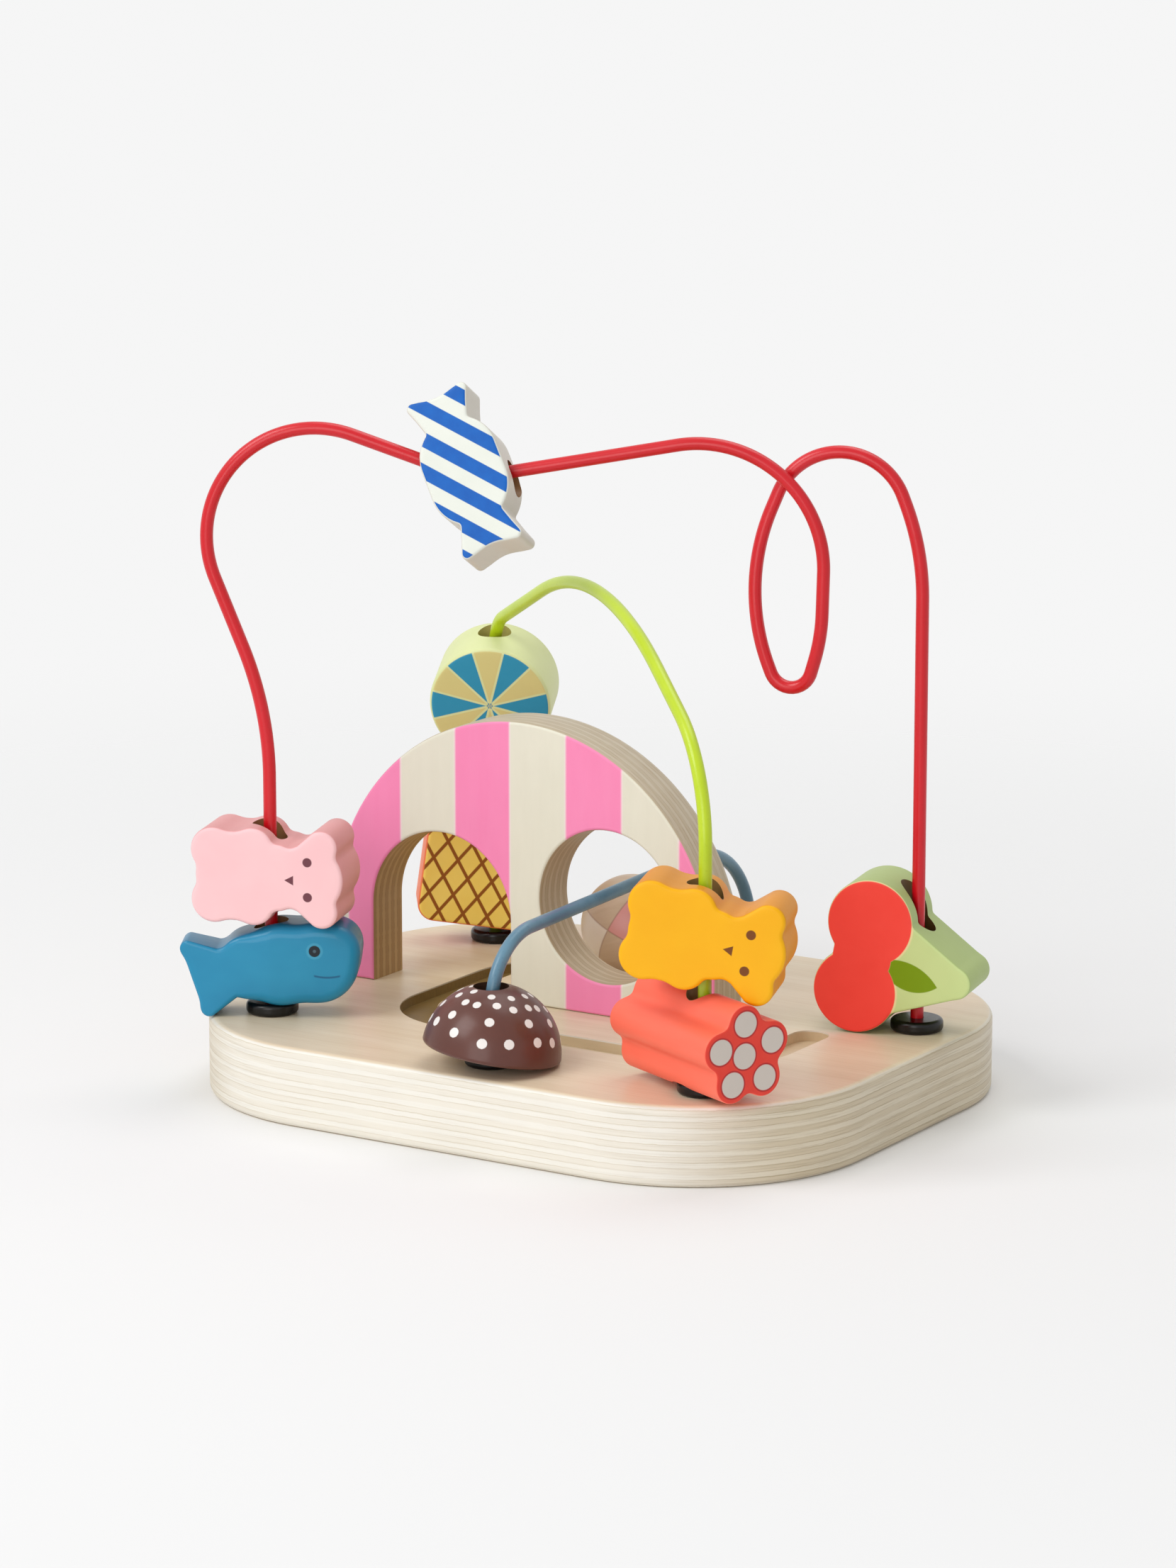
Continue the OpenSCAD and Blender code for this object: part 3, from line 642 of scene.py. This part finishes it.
FISH_AT, FISH_T = (*RED_LEFT, 25.8), 17
EYE_AT, EYE_R, MOUTH_AT, MOUTH_HALF = (12.6, 15.6), 1.6, (16, 8.2), 3.6
fish_place = placed(FISH_AT, turn=30)
fish_outline = outline_of((2, 11), [
    (17.8, 15.2, 7.2, 13.2, 11.6, 10.8), (13.2, 11.6, 10.8, 3, 11, 11), (3, 11, 11, -5.5, 10.4, 8.6),
    (-5.5, 10.4, 8.6, -10, 9.4, 5.6), (-10, 9.4, 5.0, -22.6, 15.2, 1.8), (-10, 9.4, 5.0, -17, -1.5, 1.8),
    (-22.6, 15.2, 1.8, -17, -1.5, 1.8)], blend=2.2)
fish_ease = np.interp(fish_outline[:, 0], [-16, -9, -2], [1.1, 1.6, 3.4])
fish_mesh = sawn_bead("blue_fish", fish_place, fish_outline, FISH_T, fish_ease,
                      lambda a: np.interp(a, [-24, -8, 0], [0.64, 0.9, 1.0]))
fish_paint = Bead("blue_fish_paint", fish_place, upright_bore(FISH_AT), 0.3, coat_weight=0.2)
sea = fish_paint.mottled((0.05, 0.09, 0.05), 2, tint(20, 124, 166), tint(40, 148, 186))
# Painted shade: where the fish doesn't face front, its blue is darker.
sea = fish_paint.blend(fish_paint.front.below(0.55, 0.3) * 0.3, sea, tint(22, 84, 124))
on_face = fish_paint.front.above(0.7, 0.1)
sea = fish_paint.blend(fish_paint.disc(*EYE_AT, EYE_R + 0.7, 0.25) * on_face * 0.4, sea, tint(84, 174, 204))
sea = fish_paint.blend(fish_paint.disc(*EYE_AT, EYE_R) * on_face, sea, tint(14, 24, 34))
# Painted highlight: a small lighter dot in the middle of the eye.
sea = fish_paint.blend(fish_paint.disc(*EYE_AT, 0.45) * on_face, sea, tint(70, 92, 104))
a, b = fish_paint.a - MOUTH_AT[0], fish_paint.b - MOUTH_AT[1]
smile = abs(b - a * a * 0.035).below(0.28, 0.14) * abs(a).below(MOUTH_HALF, 0.3)
fish_paint.done(fish_paint.blend(smile * on_face * 0.75, sea, tint(14, 76, 118)))
strung("blue_fish", fish_mesh, fish_paint, "fish", "fish_bead")


# Bears: two beads of one pattern, sawn from 19 mm beech as a bear lying on its side, edges eased.
# They are sprayed pink and orange. Eyes and nose are printed. Pink rides on red wire, orange on lime.
BEAR_T, BEAR_EASE, BEAR_EYE, BEAR_EYE_R = 19, 1.2, (13.2, 4.9), 1.3
NOSE_TOP, NOSE_TIP, NOSE_SLANT = 9.2, (6.65, -0.35), math.radians(27.9)
bear_parts = [(a, b, r, a, b, r) for a, b, r in [
    (13.4, 0, 9.8), (16.9, 9, 4.7), (16.9, -9, 4.7), (-2.6, 7.6, 6.1), (-2.6, -7.6, 6.1), (-13.8, 7, 6.4),
    (-13.8, -7, 6.4), (-8.2, 6, 6.5), (-8.2, -6, 6.5), (4.2, 3.2, 6.2), (4.2, -3.2, 6.2), (-12.5, 0, 6.3),
    (-7, 0, 11)]]
bear_outline = outline_of((0, 0), bear_parts, blend=1.6)
bears = [
    ("pink_bear", "pink_bear_bead", "pink_bear", "pink_wood",
     (*RED_LEFT, box_of("pink_bear_bead")[1][2]), 19, 0,
     tint(250, 196, 200), tint(254, 208, 210), tint(222, 148, 146), tint(112, 62, 72)),
    ("orange_bear", "orange_bear_bead", "orange_bear", "orange_wood",
     (*GREEN_FRONT, 64.7), 20, -10,
     tint(246, 174, 2), tint(250, 186, 10), tint(222, 140, 24), tint(120, 66, 20))]
for name, node, body, slot, at, turn, roll, face, light, flank_shade, print_ink in bears:
    place = placed(at, turn, roll=roll)
    mesh = sawn_bead(name, place, bear_outline, BEAR_T, BEAR_EASE)
    bear = Bead(name + "_paint", place, upright_bore(at))
    colour = bear.mottled((0.08, 0.08, 0.08), 2, face, light)
    # Painted shade: the sawn sides take a darker copy of the bear's paint.
    colour = bear.blend(bear.front.below(0.5, 0.2) * 0.8, colour, flank_shade)
    on_face = bear.front.above(0.9, 0.05)
    eyes = (bear.a - BEAR_EYE[0]).hypot(abs(bear.b) - BEAR_EYE[1]).below(BEAR_EYE_R)
    up, across = bear.a - NOSE_TIP[0], abs(bear.b - NOSE_TIP[1])
    flanks = up * -math.sin(NOSE_SLANT) + across * math.cos(NOSE_SLANT)
    nose = (bear.a - NOSE_TOP).most(flanks).below(0, 0.1)
    bear.done(bear.blend(eyes.most(nose) * on_face, colour, print_ink))
    strung(name, mesh, bear, body, node)


# Candy: a wrapped sweet sawn from 15 mm beech, a round middle with flared ends, printed with diagonal
# stripes on both faces over cream paint. It hangs in the dip of the red wire, bored along it.
CANDY_AT, CANDY_T, CANDY_EASE = above(RED_LEFT, RED_RIGHT, 55.8, 151.6), 15, 1.0
DIP_SLOPE, CANDY_STRETCH, CANDY_DROP = 6, 1.04, 1.0
TAIL_HALF, TAIL_END, TAIL_TIP, NOTCH_AT, NOTCH_R = 7.2, 21, 1.5, 31.6, 10.2
SLANT, BAND_PITCH, BAND_START = math.radians(38.4), 7.6, 2.1
candy_place = placed(CANDY_AT, turn=17, lean=22, roll=26.6)
red_heading = math.atan2(*(RED_RIGHT - RED_LEFT)[::-1])
candy_bore = (Matrix.Translation(CANDY_AT) @ Matrix.Rotation(red_heading, 4, "Z")
              @ Matrix.Rotation(math.radians(90 + DIP_SLOPE), 4, "Y"))
candy_parts = [(0, 4, 11, 0, -4, 11)]
for s in (1, -1):
    candy_parts += [(0, 11.5 * s, 5.4, e * TAIL_HALF, TAIL_END * s, TAIL_TIP) for e in (1, -1)]
    candy_parts += [(-TAIL_HALF, TAIL_END * s, TAIL_TIP, TAIL_HALF, TAIL_END * s, TAIL_TIP)]
notches = [(0, NOTCH_AT, NOTCH_R), (0, -NOTCH_AT, NOTCH_R)]
candy_outline = outline_of((0, 0), candy_parts, blend=0.7, bites=notches)
candy_outline = candy_outline * (1, CANDY_STRETCH) - (0, CANDY_DROP)
candy_mesh = sawn_bead("striped_candy", candy_place, candy_outline, CANDY_T, CANDY_EASE)
candy = Bead("striped_candy_paint", candy_place, candy_bore, 0.32)
ribbon = candy.a * math.cos(SLANT) + (candy.b + CANDY_DROP) * math.sin(SLANT) - BAND_START
cream = candy.mottled((0.1, 0.1, 0.1), 2, tint(230, 234, 224), tint(240, 242, 232))
# Painted shade: the cream is darker on the sides.
cream = candy.blend(candy.front.below(0.6, 0.2) * 0.8, cream, tint(216, 210, 196))
blue = candy.mottled((0.3, 0.3, 0.3), 3, tint(4, 86, 176), tint(14, 108, 200))
bands = ribbon.fold(BAND_PITCH).below(BAND_PITCH / 4, 0.12) * candy.front.above(0.8, 0.08)
candy.done(candy.blend(bands, cream, blue))
strung("striped_candy", candy_mesh, candy, "candy", "candy_bead")


# Cherries: a pair of cherries with their leaf sawn as one 20 mm block, dipped in light green.
# The red fruit and the leaf are printed on both faces. It stands at the foot of the red wire.
CHERRY_AT, CHERRY_T, CHERRY_EASE = (*RED_RIGHT, box_of("cherry_bead")[0][2]), 20, 0.8
cherry_place = placed(CHERRY_AT, turn=12)
cherry_outline = outline_of((-6, 20), [
    (-10.75, 30.8, 12.05, -10.75, 30.8, 12.05), (-4, 24.9, 7.8, 13.3, 15.9, 4.3),
    (-8, 13, 7.7, 13.3, 15.9, 4.3), (-14.95, 11.75, 11.75, -14.95, 11.75, 11.75),
    (-12.9, 21.4, 8.4, -12.9, 21.4, 8.4)], blend=0.6)
cherry_mesh = sawn_bead("cherry_pair", cherry_place, cherry_outline, CHERRY_T, CHERRY_EASE)
cherry = Bead("cherry_pair_paint", cherry_place, upright_bore(CHERRY_AT))
green = cherry.mottled((0.06, 0.06, 0.06), 2, tint(196, 216, 142), tint(208, 226, 156))
# Painted shade: the green is darker on the sides.
green = cherry.blend(cherry.front.below(0.6, 0.2) * 0.75, green, tint(164, 182, 112))
on_face = cherry.front.above(0.5, 0.1)
fruits = [(cherry.a - a).hypot(cherry.b - b) - r for a, b, r in (
    (-10.75, 30.75, 11.8), (-14.95, 11.5, 11.6), (-12.9, 21.4, 8.3))]
fruit_edge = fruits[0].least(fruits[1]).least(fruits[2])
green = cherry.blend(fruit_edge.below(0.55, 0.25) * on_face * 0.8, green, tint(244, 226, 170))
red = cherry.mottled((0.06, 0.06, 0.06), 3, tint(250, 66, 56), tint(254, 82, 70))
colour = cherry.blend(fruit_edge.below(0, 0.15) * on_face, green, red)
leaf_sides = [(cherry.a - a).hypot(cherry.b - b) - r for a, b, r in ((-3.6, 7.2, 14.1), (2.4, 23.2, 10.6))]
leaf = leaf_sides[0].most(leaf_sides[1])
colour = cherry.blend(leaf.below(0, 0.15) * on_face * fruit_edge.above(0, 0.15), colour, tint(122, 154, 2))
cherry.done(colour, bare_wood=tint(104, 84, 44))
strung("cherry_pair", cherry_mesh, cherry, "cherries", "cherry_bead")


# Lobed tube: five lobes moulded along one length of beech, painted coral, its ends printed red with six
# pale rounds. It lies across the lime wire under the orange bear, bored through its middle and faced
# below to clear the collar.
TUBE_AT, TUBE_L, TUBE_SHIFT, TUBE_EASE = (*GREEN_FRONT, 36.3), 45, -2.8, 0.7
TUBE_CORE, FACING_R, FACING_TOP, ROUND_R = 9.5, 8.45, 25.8, 3.4
LOBES, LOBE_R, LOBE_OUT, FIRST_LOBE = 5, 5.2, 8.3, 94
tube_place = placed(TUBE_AT, turn=65) @ Matrix.Translation((0, 0, TUBE_SHIFT))
lobe_at = np.radians(FIRST_LOBE + 360 / LOBES * np.arange(LOBES))
lobes = np.stack([np.cos(lobe_at), np.sin(lobe_at)], 1) * LOBE_OUT
tube_parts = [(0, 0, TUBE_CORE, 0, 0, TUBE_CORE)] + [(*p, LOBE_R, *p, LOBE_R) for p in lobes]
tube_outline = outline_of((0, 0), tube_parts, blend=2.2)
tube_mesh = sawn_bead("lobed_tube", tube_place, tube_outline, TUBE_L, TUBE_EASE)
tube = Bead("lobed_tube_paint", tube_place, upright_bore(TUBE_AT), 0.34)
coral = tube.mottled((0.12, 0.12, 0.03), 3, tint(250, 106, 82), tint(255, 124, 100))
rounds = (tube.a + 0.9).hypot(tube.b)
for p in lobes * 1.02:
    rounds = rounds.least((tube.a - float(p[0])).hypot(tube.b - float(p[1])))
end = tube.mottled((0.2, 0.2, 0.2), 2, tint(222, 56, 44), tint(236, 74, 58))
end = tube.blend(rounds.below(ROUND_R + 0.45, 0.12) * 0.75, end, tint(160, 34, 40))
end = tube.blend(rounds.below(ROUND_R, 0.12), end, tint(208, 198, 188))
tube.done(tube.blend(tube.front.above(0.7, 0.1), coral, end), grain=(0.9, 0.9, 0.1))
piece = strung("lobed_tube", tube_mesh, tube, "lobed_tube", "tube_bead")
bored(piece, upright_bore(TUBE_AT), radius=FACING_R, low=0.0, high=FACING_TOP)


# Waffle: a block of 16 mm beech with rounded corners, sides painted orange and faces printed as a waffle.
# It stands on the rear collar of the lime wire, behind the doorway.
WAFFLE_AT, WAFFLE_W, WAFFLE_H, WAFFLE_T = box_of("waffle_bead")[1], 41, 48.5, 16
WAFFLE_EASE, CORNER_R, CELL_W, CELL_H = 1.3, 5, 7.1, 10.4
waffle_place = placed(WAFFLE_AT, turn=36, roll=-8)
corner = (WAFFLE_W / 2 - CORNER_R, WAFFLE_H / 2 - CORNER_R)
corner_at = np.array([[1, 1], [-1, 1], [-1, -1], [1, -1]]) * corner
sides = [(*p, CORNER_R, *q, CORNER_R) for p, q in zip(corner_at, np.roll(corner_at, 1, 0))]
waffle_outline = outline_of((0, 0), sides, blend=0.01)
waffle_mesh = sawn_bead("waffle_block", waffle_place, waffle_outline, WAFFLE_T, WAFFLE_EASE)
waffle = Bead("waffle_paint", waffle_place, upright_bore(WAFFLE_AT))
gold = waffle.mottled((0.1, 0.1, 0.1), 3, tint(255, 219, 94), tint(255, 232, 122))
rise = waffle.a * (1 / CELL_W) + waffle.b * (1 / CELL_H)
fall = waffle.a * (1 / CELL_W) - waffle.b * (1 / CELL_H)
lattice = rise.fold(1.0).least(fall.fold(1.0)) * (CELL_W * CELL_H / math.hypot(CELL_W, CELL_H))
face = waffle.blend(lattice.below(0.48, 0.14), gold, tint(150, 86, 22))
side = waffle.mottled((0.2, 0.2, 0.2), 2, tint(240, 112, 62), tint(246, 132, 80))
waffle.done(waffle.blend(waffle.front.above(0.75, 0.1), side, face))
strung("waffle_block", waffle_mesh, waffle, "waffle", "waffle_bead")


# Lollipop: a thick turned disc of beech with a soft rim, cream green, with twelve printed sectors.
# It leans forward on the lime wire, on top of the waffle.
LOLLY_AT, LOLLY_R, LOLLY_T, LOLLY_RISE = box_of("lollipop_bead")[1], 17.6, 21, 0.1
SECTOR, PRINT_R = math.pi / 6, 17.0
lolly_place = placed(LOLLY_AT, turn=25, lean=-12)
lolly_outline = outline_of((0, 0), [(0, LOLLY_RISE, LOLLY_R, 0, LOLLY_RISE, LOLLY_R)])
lolly_ease = np.interp(lolly_outline[:, 1], [-14, -8], [2.0, 1.2])
lolly_mesh = sawn_bead("lollipop_disc", lolly_place, lolly_outline, LOLLY_T, lolly_ease)
lolly = Bead("lollipop_paint", lolly_place, upright_bore(LOLLY_AT))
body = lolly.mottled((0.08, 0.08, 0.08), 3, tint(218, 226, 160), tint(230, 236, 178))
around = lolly.b.calc("ARCTAN2", lolly.a) * (1 / SECTOR)
span = lolly.a.hypot(lolly.b)
border = ((around + 0.5).fold(1.0) * span * SECTOR).most(span * -1 + 1.2).most(0)
sector = (around * 0.5).fold(1.0).below(0.25, 0.01)
wedges = lolly.blend(sector, tint(222, 212, 140), tint(50, 152, 188))
printed = lolly.front.above(0.85, 0.06) * span.below(PRINT_R, 0.12) * border.above(0.3, 0.12)
lolly.done(lolly.blend(printed, body, wedges), bare_wood=tint(188, 176, 104))
strung("lollipop_disc", lolly_mesh, lolly, "lollipop", "lollipop_bead")


# Dome: half a turned ball of beech, hollowed below to clear the collar at the front foot of the blue wire.
# It is sprayed gloss brown and printed with rings of white dots.
DOME_AT, DOME_TURN, DOME_LEAN = (*BLUE_FRONT, 25.37), 48, 10
DOME_R, DOME_EASE, CAP_START, HOLLOW_R, HOLLOW_DEEP = 18.75, 1.2, 3.8, 8.55, 2.2
dome_place = (Matrix.Translation(DOME_AT) @ Matrix.Rotation(math.radians(DOME_TURN), 4, "Z")
              @ Matrix.Rotation(math.radians(DOME_LEAN), 4, "Y"))


def turned(name, place, profile, count=128):
    """Turned solid: a profile of radius and height carried round the place's Z axis."""
    a = np.linspace(0, 2 * np.pi, count, endpoint=False)
    r, h = profile[1:-1].T
    rings = np.stack([r[:, None] * np.cos(a), r[:, None] * np.sin(a), h[:, None] * np.ones(count)], -1)
    poles = [[0, 0, profile[0][1]], [0, 0, profile[-1][1]]]
    return grid_mesh(name, into(place, rings), *into(place, np.array(poles)))


rim = np.radians(np.linspace(-90, 0, 9))
cap = np.radians(np.linspace(CAP_START, 90, 60))
dome_profile = np.concatenate([
    [[0, HOLLOW_DEEP], [4, HOLLOW_DEEP], [HOLLOW_R, HOLLOW_DEEP], [HOLLOW_R, 0], [13, 0], [17, 0]],
    np.stack([DOME_R - DOME_EASE * (1 - np.cos(rim)), DOME_EASE * (1 + np.sin(rim))], 1)[:-1],
    np.stack([DOME_R * np.cos(cap), DOME_R * np.sin(cap)], 1)])
dome_mesh = turned("dotted_dome", dome_place, dome_profile)
dome = Bead("dotted_dome_paint", dome_place, upright_bore(DOME_AT), 0.3, coat_weight=0.25, coat_roughness=0.2)
brown = dome.mottled((0.08, 0.08, 0.08), 3, tint(84, 46, 38), tint(106, 64, 54))
spots = dome.tree.nodes.new("ShaderNodeAttribute")
spots.attribute_name = "dot_edge"
dots = Field(dome.tree, spots.outputs["Fac"]).below(0, 0.12)
dome.done(dome.blend(dots, brown, tint(238, 234, 230)), 0.02, bare_wood=tint(72, 48, 34))
piece = strung("dotted_dome", dome_mesh, dome, "dotted_dome", "dome_bead")
# Each ring of dots: height in degrees, count, first heading in degrees and dot radius.
dot_rings = [(20, 14, -93, 1.4), (36, 9, -114, 1.3), (51, 16, -88, 1.15), (64, 10, -87, 1.05)]
dot_at, dot_r = [], []
for height, count, first, radius in dot_rings:
    k = np.arange(count)
    heading = np.radians(first + 360 / count * k + 3 * np.sin(2.1 * k))
    lift = np.radians(height + 3 * np.sin(1.3 * k))
    level = np.cos(lift)
    dot_at.append(DOME_R * np.stack([np.cos(heading) * level, np.sin(heading) * level, np.sin(lift)], 1))
    dot_r.append(np.full(count, radius))
dot_at, dot_r = np.concatenate(dot_at), np.concatenate(dot_r)
co = np.empty(len(piece.data.vertices) * 3)
piece.data.vertices.foreach_get("co", co)
local = into(dome_place.inverted(), co.reshape(-1, 3) / MM)
gap = np.linalg.norm(local[:, None] - dot_at[None], axis=2) - dot_r
dot_edge = piece.data.attributes.new("dot_edge", "FLOAT", "POINT")
dot_edge.data.foreach_set("value", gap.min(1).astype(np.float32))


# Ball: a turned beech ball that rolls in the track behind the arch. Of its four gores one is printed pink
# and the one across from it cream. The two between are clear lacquered beech.
_, BALL_AT, ball_high = box_of("track_ball")
BALL_R, BALL_TURN, BALL_LEAN, BALL_SPIN = ball_high[2] - BALL_AT[2], -87, 84, 109
GORE = math.pi / 2
ball_place = Matrix.Translation(BALL_AT)
for degrees, axis in ((BALL_TURN, "Z"), (BALL_LEAN, "Y"), (BALL_SPIN, "Z")):
    ball_place = ball_place @ Matrix.Rotation(math.radians(degrees), 4, axis)
a = np.radians(np.linspace(-90, 90, 65))
ball_mesh = turned("gored_ball", ball_place, np.stack([BALL_R * np.cos(a), BALL_R * np.sin(a)], 1))
ball = Finish("gored_ball_paint", specular_ior_level=0.45)
x, y, _ = ball.where(ball_place)
gore = y.calc("ARCTAN2", x) * (1 / GORE)
cloud = ball.noise((0.1, 0.1, 0.1), 3, place=ball_place)
cream = ball.blend(cloud, tint(236, 224, 206), tint(246, 238, 226))
pink = ball.blend(cloud, tint(220, 152, 148), tint(234, 170, 164))
grain = ball.noise((0.06, 0.5, 0.5), 4, place=ball_place)
beech = ball.blend(grain, tint(198, 172, 142), tint(220, 200, 174))
colour = ball.blend(gore.fold(4.0).below(0.5, 0.02), beech, pink)
colour = ball.blend((gore - 2).fold(4.0).below(0.5, 0.02), colour, cream)
seam = ((gore - 0.5).fold(1.0) * x.hypot(y) * GORE).below(0.22, 0.14)
ball.paint(ball.blend(seam * 0.45, colour, tint(150, 104, 90)), 0.32 + cloud * 0.14)
ball.relief(ball.noise((0.9, 0.9, 0.15), 4, place=ball_place), 0.05, 0.4)
link_piece("gored_ball", ball_mesh, ball, "rolling_ball", "track_ball")


# Studio: pale paper under the toy that fades into white air, so that its edge doesn't show.
# A broad key lamp stands to the left, a fill in front and a top lamp behind.
FLOOR_HALF, PAPER_FADE, FADE_SOFT = 900.0, 420.0, 260.0
floor_mesh = bpy.data.meshes.new("studio_paper")
corners = np.array([[-1, -1, 0], [1, -1, 0], [1, 1, 0], [-1, 1, 0]]) * FLOOR_HALF * MM
floor_mesh.from_pydata(corners.tolist(), [], [[0, 1, 2, 3]])
floor = bpy.data.objects.new("studio_paper", floor_mesh)
bpy.context.scene.collection.objects.link(floor)
floor_finish = Finish("studio_paper", roughness=0.9, specular_ior_level=0.1, base_color=tint(245, 245, 245))
x, y, _ = floor_finish.where()
feed(floor_finish.tree, floor_finish.shader.inputs["Alpha"], x.hypot(y).below(PAPER_FADE, FADE_SOFT))
floor_mesh.materials.append(floor_finish.material)

world = bpy.data.worlds.new("studio_air")
bpy.context.scene.world = world
world.use_nodes = True
sky = world.node_tree
ray = sky.nodes.new("ShaderNodeLightPath")
seen = sum((Field(sky, ray.outputs[kind]) for kind in ("Is Glossy Ray", "Is Transmission Ray")),
           Field(sky, ray.outputs["Is Camera Ray"]))
air, backdrop = sky.nodes["Background"], sky.nodes.new("ShaderNodeBackground")
pick = sky.nodes.new("ShaderNodeMixShader")
AIR_LIGHT, BACKDROP_LIGHT, WHITE = 0.48, 0.92, (1, 1, 1, 1)
for background, strength in ((air, AIR_LIGHT), (backdrop, BACKDROP_LIGHT)):
    background.inputs["Color"].default_value = WHITE
    background.inputs["Strength"].default_value = strength
feed(sky, pick.inputs[0], seen)
sky.links.new(air.outputs[0], pick.inputs[1])
sky.links.new(backdrop.outputs[0], pick.inputs[2])
sky.links.new(pick.outputs[0], sky.nodes["World Output"].inputs["Surface"])


def lamp(name, at, aim, size, power):
    """Square soft box that faces a point."""
    light = bpy.data.lights.new(name, "AREA")
    light.size, light.energy = size * MM, power
    box = bpy.data.objects.new(name, light)
    bpy.context.scene.collection.objects.link(box)
    box.location = Vector(at) * MM
    box.rotation_mode = "QUATERNION"
    box.rotation_quaternion = (Vector(aim) - Vector(at)).to_track_quat("-Z", "Y")


lamp("key_lamp", (-700, -1100, 1300), (0, 0, 70), 900, 12.2)
lamp("fill_lamp", (300, -1480, 380), (0, 0, 70), 900, 6.0)
lamp("top_lamp", (100, 500, 1500), (0, 0, 60), 1000, 6.5)

LENS, SENSOR = 118.94, 36.0
CAMERA_AT, CAMERA_AIM = Vector((739.64, -1184.55, 382.98)), Vector((20.69, -39.64, 95.0))
camera = bpy.data.objects.new("photo_view", bpy.data.cameras.new("photo_view"))
bpy.context.scene.collection.objects.link(camera)
camera.data.sensor_width, camera.data.lens = SENSOR, LENS
camera.location = CAMERA_AT * MM
camera.rotation_mode = "QUATERNION"
camera.rotation_quaternion = (CAMERA_AIM - CAMERA_AT).to_track_quat("-Z", "Y")
camera.data.clip_start, camera.data.clip_end = 0.01, 100.0
bpy.context.scene.camera = camera
bpy.context.scene.view_settings.view_transform = "Standard"
